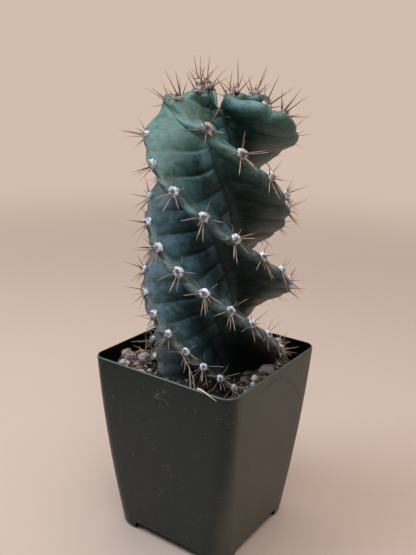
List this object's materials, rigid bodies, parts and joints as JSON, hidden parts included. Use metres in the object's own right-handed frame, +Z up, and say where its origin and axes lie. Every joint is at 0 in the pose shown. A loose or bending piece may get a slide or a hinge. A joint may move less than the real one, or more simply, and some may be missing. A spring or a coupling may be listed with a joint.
{
  "type": "potted spiral cactus",
  "caption": "Column cactus with four deep twisted ribs, areoles and spines, in a square black nursery pot of gritty mix.",
  "frame": {"origin": "on the table under the middle of the pot, which is also the middle of the bounding box", "axes": "+Z up along the stem; X and Y square to the pot's sides; the front corner in the picture is at +X, -Y"},
  "size_m": [0.0844, 0.0844, 0.2354],
  "materials": {
    "pot_plastic": "moulded black plastic, semi-gloss, lightly scuffed",
    "potting_mix": "damp dark mix with coarse grains, matt",
    "cactus_skin": "waxy blue-green skin with a grey bloom, satin",
    "pumice": "rough porous pumice, matt",
    "bark": "split bark, matt"
  },
  "bodies": {
    "root": {"pot": "pot_plastic", "potting_mix": "potting_mix", "stem": "cactus_skin", "pumice_stone_1": "pumice", "pumice_stone_2": "pumice", "pumice_stone_3": "pumice", "pumice_stone_4": "pumice", "pumice_stone_5": "pumice", "pumice_stone_6": "pumice", "bark_chip_1": "bark", "bark_chip_2": "bark"}
  },
  "joints": []
}
